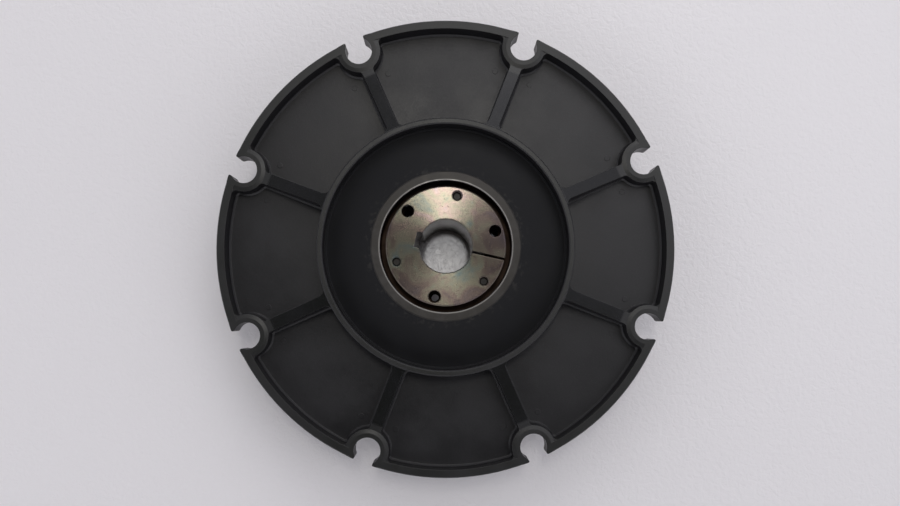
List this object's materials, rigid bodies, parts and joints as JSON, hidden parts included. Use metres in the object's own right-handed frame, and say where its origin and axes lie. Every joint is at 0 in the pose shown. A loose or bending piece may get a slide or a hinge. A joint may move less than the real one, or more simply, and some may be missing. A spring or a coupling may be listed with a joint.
{
  "type": "flexible flywheel disc coupling",
  "caption": "Round flywheel coupling: ribbed plastic plate with open bolt notches in its rim, bonded rubber ring, steel hub and split taper bushing with a keyed bore.",
  "frame": {"origin": "on the coupling's axis, in the plane of the bushing's small end, on which the coupling stands", "axes": "+Z along the axis, towards the flywheel; +X halfway between two rim notches"},
  "size_m": [0.3524, 0.3524, 0.075],
  "materials": {
    "moulded_plate": "satin moulded, glass filled",
    "bonded_rubber": "matt moulded",
    "hub_steel": "turned and blackened",
    "bushing_steel": "fine turned",
    "screw_steel": "plain"
  },
  "bodies": {
    "root": {"flywheel_plate": "moulded_plate", "flex_element": "bonded_rubber", "hub": "hub_steel", "taper_bushing": "bushing_steel", "cap_screw_1": "screw_steel", "cap_screw_2": "screw_steel", "cap_screw_3": "screw_steel", "lock_washer_1": "screw_steel", "lock_washer_2": "screw_steel", "lock_washer_3": "screw_steel"}
  },
  "joints": []
}
